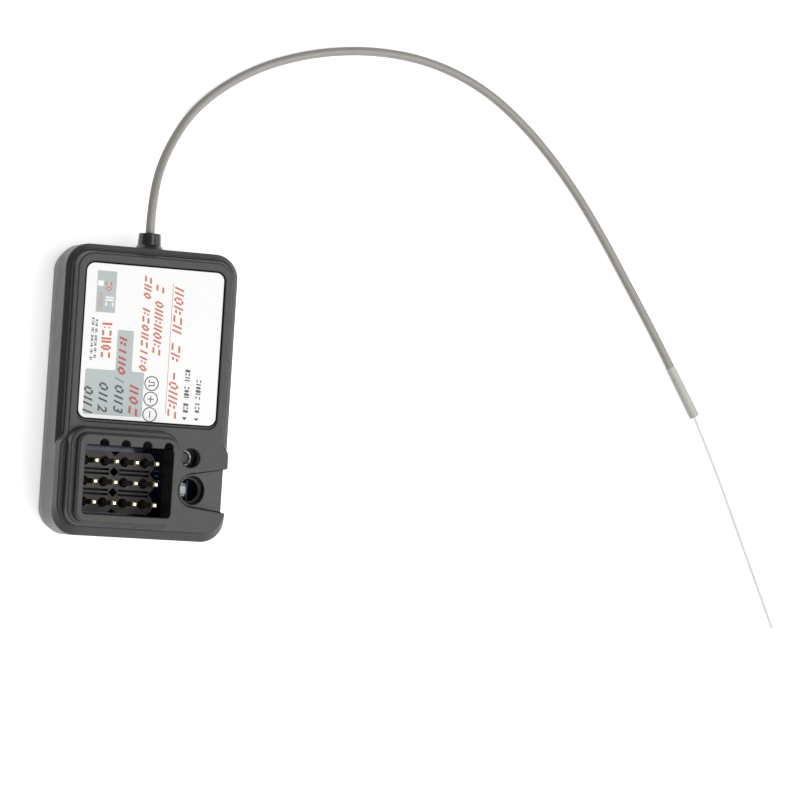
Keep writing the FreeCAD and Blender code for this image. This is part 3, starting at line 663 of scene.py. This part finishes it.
class RECEIVER_OT_label(bpy.types.Operator):
    """Finishes the label's film and prints its fields, rings, plain marks, signs and channel numbers"""
    bl_idname = "receiver.print_label"
    bl_label = "Print label"

    def execute(self, context):
        look = context.scene.receiver_label
        dress("label", self.film_material(look))
        red = screen_ink("Screen ink, red", look.red)
        deep_red = screen_ink("Screen ink, deep red", look.deep_red)
        dark = screen_ink("Screen ink, dark grey", look.dark)
        white = screen_ink("Screen ink, white", look.film)
        self.add_fields(look, screen_ink("Screen ink, grey", look.field))
        self.add_circles(look, dark)
        on_grey = LABEL_TOP + look.ink / MM
        prints = (
            ("print_red_lines", RED_LINES, [RULE], LABEL_TOP, red),
            ("print_dark_lines", DARK_LINES, POINTERS, LABEL_TOP, dark),
            ("print_field_red", FIELD_RED_LINES, [], on_grey, deep_red),
            ("print_field_dark", FIELD_DARK_LINES, [FIELD_STROKE], on_grey, dark),
            ("print_patch_white", PATCH_WHITE_LINES, [PATCH_SQUARE], on_grey, white),
            ("print_patch_red", PATCH_RED_LINES, [], on_grey, red),
            ("print_signs", [], self.signs(), LABEL_TOP, dark),
        )
        for name, rows, shapes, level, ink in prints:
            piece = flat_piece(name, lines_of_marks(rows, look) + shapes, level, look.ink)
            take_on(piece, ink)
        self.add_numbers(look, on_grey, dark)
        return {"FINISHED"}

    def add_fields(self, look, material):
        """The stepped grey field and the grey patch, with rounded corners."""
        piece = start_flat("print_grey_fields", FIELD_OUTLINE, LABEL_TOP)
        bpy.ops.mesh.bevel(affect="VERTICES", offset=FIELD_ROUND * MM, segments=6)
        add_outline(piece, PATCH_OUTLINE, LABEL_TOP)
        bpy.ops.mesh.bevel(affect="VERTICES", offset=PATCH_ROUND * MM, segments=4)
        thicken(piece, look.ink)
        take_on(piece, material)

    def add_circles(self, look, material):
        """Three rings, one for each row of contacts."""
        piece = None
        for y in CIRCLE_PLACES:
            points = []
            for i in range(CIRCLE_STEPS):
                turn = 2 * math.pi * i / CIRCLE_STEPS
                points.append((CIRCLE_X + CIRCLE_RADIUS * math.cos(turn), y + CIRCLE_RADIUS * math.sin(turn)))
            if piece is None:
                piece = start_flat("print_rings", points, LABEL_TOP)
            else:
                add_outline(piece, points, LABEL_TOP)
            bpy.ops.mesh.inset(thickness=CIRCLE_LINE * MM)
            bpy.ops.mesh.delete(type="FACE")
        thicken(piece, look.ink)
        take_on(piece, material)

    def signs(self):
        """A pulse, a plus and a minus in the rings."""
        outlines = []
        for y, bars in zip(CIRCLE_PLACES, (PULSE, PLUS, MINUS)):
            for x0, y0, x1, y1 in bars:
                outlines.append(bar(CIRCLE_X + x0, y + y0, CIRCLE_X + x1, y + y1))
        return outlines

    def add_numbers(self, look, level, material):
        """The channel numbers at the foot of the grey field, read along the lines of print."""
        for body, base, start in NUMBERS:
            clear_selection()
            bpy.ops.object.text_add(location=(0, 0, 0))
            piece = bpy.context.active_object
            piece.name = "print_number_" + body
            piece.data.body = body
            piece.data.size = NUMBER_SIZE * MM
            piece.data.shear = NUMBER_SLANT
            piece.data.offset = NUMBER_WEIGHT * MM
            piece.data.extrude = look.ink / 2
            bpy.ops.object.convert(target="MESH")
            turn = Matrix.Rotation(-math.pi / 2, 4, "Z")
            place = Matrix.Translation((base * MM, start * MM, level * MM + look.ink / 2))
            piece.data.transform(place @ turn)
            take_on(piece, material)

    def film_material(self, look):
        """Polyester film: white and satin, with the faintest ripple from the adhesive under it."""
        material, tree = new_material("Polyester film, satin")
        ripple = grain_noise(tree, 3.0 * MM)
        finish_surface(
            tree, {"Roughness": 0.4, "IOR": 1.57},
            {"Base Color": blend(tree, shaded(look.film, 0.985), look.film, ripple),
             "Normal": roughen(tree, ripple, 0.2, 0.01 * MM)})
        return material


# Heights between which the pins' shafts turn from painted shade to gold, and the carriers' flanks from
# painted shade to their tops
GOLD_START = 11.2
GOLD_FULL = 11.7
CARRIER_FLANK = 5.95
CARRIER_TOP = 6.09


class RECEIVER_OT_contacts(bpy.types.Operator):
    """Finishes the plated pins and their moulded carriers"""
    bl_idname = "receiver.finish_contacts"
    bl_label = "Finish contacts"

    def execute(self, context):
        look = context.scene.receiver_contacts
        plating = self.pin_material(look)
        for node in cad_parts:
            if node.startswith("pin_"):
                dress(node, plating)
        carrier = self.carrier_material(look)
        dress("header_block_left", carrier)
        dress("header_block_right", carrier)
        return {"FINISHED"}

    def pin_material(self, look):
        """Drawn brass with flash gold on the tips, bright and pale; below them the shafts are painted dark
        brown, painted shade for the dark well that they reflect.
        """
        material, tree = new_material("Brass pin, flash gold, shafts in painted shade")
        marks = grain_noise(tree, 0.08 * MM, 3.0)
        # The dark brown of the shafts below GOLD_START is painted shade; the gold above it is the tips'
        # plating.
        gold = along(tree, "Z", GOLD_START * MM, GOLD_FULL * MM)
        finish_surface(
            tree, {"Metallic": 1.0},
            {"Base Color": blend(tree, look.shaft, look.plating, gold),
             "Roughness": between(tree, 0.2, 0.34, marks)})
        return material

    def carrier_material(self, look):
        """Glass filled nylon: a dull speckled grey skin on top, with the flanks down its cuts darkened by
        painted shade.
        """
        material, tree = new_material("Glass filled nylon, moulded")
        skin = grain_noise(tree, 0.14 * MM, 4.0)
        top = along(tree, "Z", CARRIER_FLANK * MM, CARRIER_TOP * MM)
        shade = blend(tree, look.carrier, shaded(look.carrier, 2.3), skin)
        # Below CARRIER_FLANK the colour falls to a fifth: painted shade deep in the cuts between the rows.
        tint = add_node(
            tree, "ShaderNodeMix", {"data_type": "RGBA"}, {"A": opaque(shaded(look.carrier, 0.2))},
            {"Factor": top, "B": shade})
        finish_surface(
            tree, {"Roughness": 0.5, "Specular IOR Level": 0.3},
            {"Base Color": tint.outputs["Result"], "Normal": roughen(tree, skin, 0.6, 0.004 * MM)})
        return material


BOARD_TOP = 3.6
BOARD_MARKS = [
    bar(7.34, -12.8, 7.46, -10.3),
    bar(3.1, -9.52, 3.9, -9.4),
    bar(3.1, -10.12, 3.6, -10.0),
    bar(3.1, -10.72, 3.9, -10.6),
]


class RECEIVER_OT_board(bpy.types.Operator):
    """Finishes the board, its chips and its joints, and marks the board"""
    bl_idname = "receiver.finish_board"
    bl_label = "Finish board"

    def execute(self, context):
        look = context.scene.receiver_board
        # Solder mask over glass epoxy: near black blue and glossy, with a faint weave beneath.
        dress("circuit_board", moulded_plastic(
            "Glass epoxy board, dark solder mask", look.mask, grain=0.3 * MM, depth=0.001 * MM, roughness=0.1,
            ior=1.6, lightest=1.8, spread=0.03, gloss=srgb("d6daf0")))
        epoxy = moulded_plastic(
            "Chip epoxy, moulded", srgb("1d1d1e"), grain=0.06 * MM, depth=0.002 * MM, roughness=0.5)
        for node in ("radio_chip", "microcontroller", "voltage_regulator"):
            dress(node, epoxy)
        dress("chip_capacitors", moulded_plastic(
            "Ceramic chip, fired", srgb("a08a6a"), grain=0.1 * MM, depth=0.002 * MM, roughness=0.5))
        dress("chip_resistors", moulded_plastic(
            "Film resistor, glazed", srgb("202022"), grain=0.1 * MM, depth=0.002 * MM, roughness=0.25))
        dress("crystal", plated_metal(
            "Crystal can, drawn and nickel plated", srgb("cfcfca"), roughness=0.3, streak=0.2 * MM))
        dress("aerial_solder_joints", plated_metal(
            "Solder, reflowed", srgb("d2d2d0"), roughness=0.25, streak=0.3 * MM))
        marking = flat_piece("board_marking", BOARD_MARKS, BOARD_TOP, 0.01 * MM)
        take_on(marking, screen_ink("Board marking ink", look.marking))
        return {"FINISHED"}


BEAD_PLACE = (5.85, -7.6, 6.44)
BEAD_RADIUS = 0.94
BEAD_THICK = 0.12
BEAD_FLAT = 0.8


class RECEIVER_OT_key_light(bpy.types.Operator):
    """Finishes the key under the small hole, rolls its cover's lip, and finishes the light under the ramp"""
    bl_idname = "receiver.finish_key_light"
    bl_label = "Finish key and light"

    def execute(self, context):
        look = context.scene.receiver_key_light
        sheet = plated_metal(
            "Sheet steel, pressed and tin plated", look.sheet, roughness=0.24, streak=0.15 * MM)
        dress("key_switch_cover", sheet)
        # The lip is paler than the cover: a painted highlight.
        bright = plated_metal("Sheet steel, lip with painted highlight", look.bead, roughness=0.26, streak=0.15 * MM)
        take_on(self.rolled_bead(), bright)
        dress("key_contact_dome", sheet)
        dress("key_switch_base", moulded_plastic(
            "Nylon, moulded black", srgb("1f1f20"), grain=0.1 * MM, depth=0.003 * MM, roughness=0.4))
        # Acetal: grey, waxy and smooth.
        dress("key_plunger", moulded_plastic(
            "Acetal, moulded", look.plunger, grain=0.15 * MM, depth=0.002 * MM, roughness=0.35, ior=1.48))
        dress("status_led_base", moulded_plastic(
            "Light's white laminate", look.carrier, grain=0.1 * MM, depth=0.002 * MM, roughness=0.4))
        dress("status_led_lens", moulded_plastic(
            "Epoxy lens, cast", look.lens, grain=0.3 * MM, depth=0.001 * MM, roughness=0.12, ior=1.5))
        return {"FINISHED"}

    def rolled_bead(self):
        """The rolled lip on the cover's ring, whose round top carries a painted highlight beside the plunger.
        """
        clear_selection()
        x, y, z = (c * MM for c in BEAD_PLACE)
        bpy.ops.mesh.primitive_torus_add(
            major_segments=48, minor_segments=16, major_radius=BEAD_RADIUS * MM, minor_radius=BEAD_THICK * MM)
        piece = bpy.context.active_object
        piece.name = "key_cover_bead"
        bpy.ops.object.mode_set(mode="EDIT")
        bpy.ops.transform.resize(value=(1, 1, BEAD_FLAT), center_override=(0, 0, 0))
        bpy.ops.transform.translate(value=(x, y, z))
        bpy.ops.object.mode_set(mode="OBJECT")
        bpy.ops.object.shade_smooth()
        return piece


# The studio, in metres, with the lens and sensor in millimetres. The camera is solved from the photo.
CAMERA_PLACE = (-0.10367, -0.01147, 0.38768)
CAMERA_RIGHT = (0.93807, 0.06162, 0.34091)
CAMERA_UP = (-0.06888, 0.99758, 0.00922)
CAMERA_LENS = 143.17
CAMERA_SENSOR = 36.0
CAMERA_NEAREST = 0.01
FLOOR_RADIUS = 1.6
FLOOR_SIDES = 96
# The floor lies a hair under the box, so that the two faces don't flicker through each other.
FLOOR_LEVEL = -0.00002
PANEL_SIZE = 0.85
PANEL_PLACE = (0.22, -0.16, 0.6)
SIDE_SIZE = 0.5
SIDE_PLACE = (0.75, -0.05, 0.33)
LIGHTS_AIM = (0.02, 0.01, 0.0)


class RECEIVER_OT_studio(bpy.types.Operator):
    """Sets up the pale floor, the even air, the soft panels overhead and on the right, and the camera"""
    bl_idname = "receiver.set_studio"
    bl_label = "Set studio"

    def execute(self, context):
        look = context.scene.receiver_studio
        self.add_floor(look)
        self.add_air(context, look)
        self.add_panel("soft_panel", PANEL_PLACE, PANEL_SIZE, look.panel)
        self.add_panel("side_panel", SIDE_PLACE, SIDE_SIZE, look.side)
        self.add_camera(context)
        context.scene.view_settings.view_transform = "Standard"
        return {"FINISHED"}

    def add_floor(self, look):
        """White paper that seems to glow where the camera, a reflection or a clear piece shows it."""
        clear_selection()
        bpy.ops.mesh.primitive_circle_add(
            vertices=FLOOR_SIDES, radius=FLOOR_RADIUS, fill_type="NGON", location=(0, 0, FLOOR_LEVEL))
        floor = bpy.context.active_object
        floor.name = "studio_floor"
        material, tree = new_material("Paper, matt white")
        paper = add_node(tree, "ShaderNodeBsdfDiffuse", values={"Color": opaque(look.floor)})
        path = add_node(tree, "ShaderNodeLightPath")
        seen = add_node(
            tree, "ShaderNodeMath", {"operation": "MAXIMUM"},
            links={0: path.outputs["Is Camera Ray"], 1: path.outputs["Is Glossy Ray"]})
        seen = add_node(
            tree, "ShaderNodeMath", {"operation": "MAXIMUM"},
            links={0: seen.outputs["Value"], 1: path.outputs["Is Transmission Ray"]})
        strength = add_node(
            tree, "ShaderNodeMath", {"operation": "MULTIPLY"}, {1: look.floor_glow},
            {0: seen.outputs["Value"]})
        glow = add_node(tree, "ShaderNodeEmission", links={"Strength": strength.outputs["Value"]})
        both = add_node(
            tree, "ShaderNodeAddShader", links={0: paper.outputs["BSDF"], 1: glow.outputs["Emission"]})
        add_node(tree, "ShaderNodeOutputMaterial", links={"Surface": both.outputs["Shader"]})
        floor.data.materials.append(material)

    def add_air(self, context, look):
        world = bpy.data.worlds.new("Studio air")
        world.use_nodes = True
        tree = world.node_tree
        tree.nodes.clear()
        air = add_node(
            tree, "ShaderNodeBackground", values={"Color": (1.0, 1.0, 1.0, 1.0), "Strength": look.air})
        add_node(tree, "ShaderNodeOutputWorld", links={"Surface": air.outputs["Background"]})
        context.scene.world = world

    def add_panel(self, name, place, size, power):
        clear_selection()
        bpy.ops.object.light_add(type="AREA", location=place)
        panel = bpy.context.active_object
        panel.name = name
        panel.data.shape = "SQUARE"
        panel.data.size = size
        panel.data.energy = power
        aim = Vector(LIGHTS_AIM) - Vector(place)
        panel.rotation_euler = aim.to_track_quat("-Z", "Y").to_euler()

    def add_camera(self, context):
        clear_selection()
        bpy.ops.object.camera_add()
        camera = bpy.context.active_object
        camera.name = "photo_camera"
        camera.data.lens = CAMERA_LENS
        camera.data.sensor_width = CAMERA_SENSOR
        camera.data.clip_start = CAMERA_NEAREST
        right, up = Vector(CAMERA_RIGHT).normalized(), Vector(CAMERA_UP)
        back = right.cross(up).normalized()
        up = back.cross(right)
        turn = Matrix((right, up, back)).transposed().to_4x4()
        camera.matrix_world = Matrix.Translation(CAMERA_PLACE) @ turn
        context.scene.camera = camera


STEPS = (
    RECEIVER_OT_studio,
    RECEIVER_OT_aerial,
    RECEIVER_OT_housing,
    RECEIVER_OT_label,
    RECEIVER_OT_contacts,
    RECEIVER_OT_board,
    RECEIVER_OT_key_light,
)


class RECEIVER_PT_panel(bpy.types.Panel):
    """Lists the steps that dress the receiver"""
    bl_idname = "RECEIVER_PT_panel"
    bl_label = "Receiver"
    bl_space_type = "VIEW_3D"
    bl_region_type = "UI"
    bl_category = "Receiver"

    def draw(self, context):
        for step in STEPS:
            self.layout.operator(step.bl_idname)
        for name, group in LOOKS.items():
            box = self.layout.box()
            for prop in group.__annotations__:
                box.prop(getattr(context.scene, name), prop)


def register():
    for name, group in LOOKS.items():
        bpy.utils.register_class(group)
        setattr(bpy.types.Scene, name, PointerProperty(type=group))
    for step in STEPS:
        bpy.utils.register_class(step)
    bpy.utils.register_class(RECEIVER_PT_panel)


def unregister():
    bpy.utils.unregister_class(RECEIVER_PT_panel)
    for step in reversed(STEPS):
        bpy.utils.unregister_class(step)
    for name, group in LOOKS.items():
        delattr(bpy.types.Scene, name)
        bpy.utils.unregister_class(group)


def main():
    register()
    bpy.ops.receiver.set_studio()
    bpy.ops.receiver.lay_aerial()
    bpy.ops.receiver.finish_housing()
    bpy.ops.receiver.print_label()
    bpy.ops.receiver.finish_contacts()
    bpy.ops.receiver.finish_board()
    bpy.ops.receiver.finish_key_light()


if __name__ == "__main__":
    main()
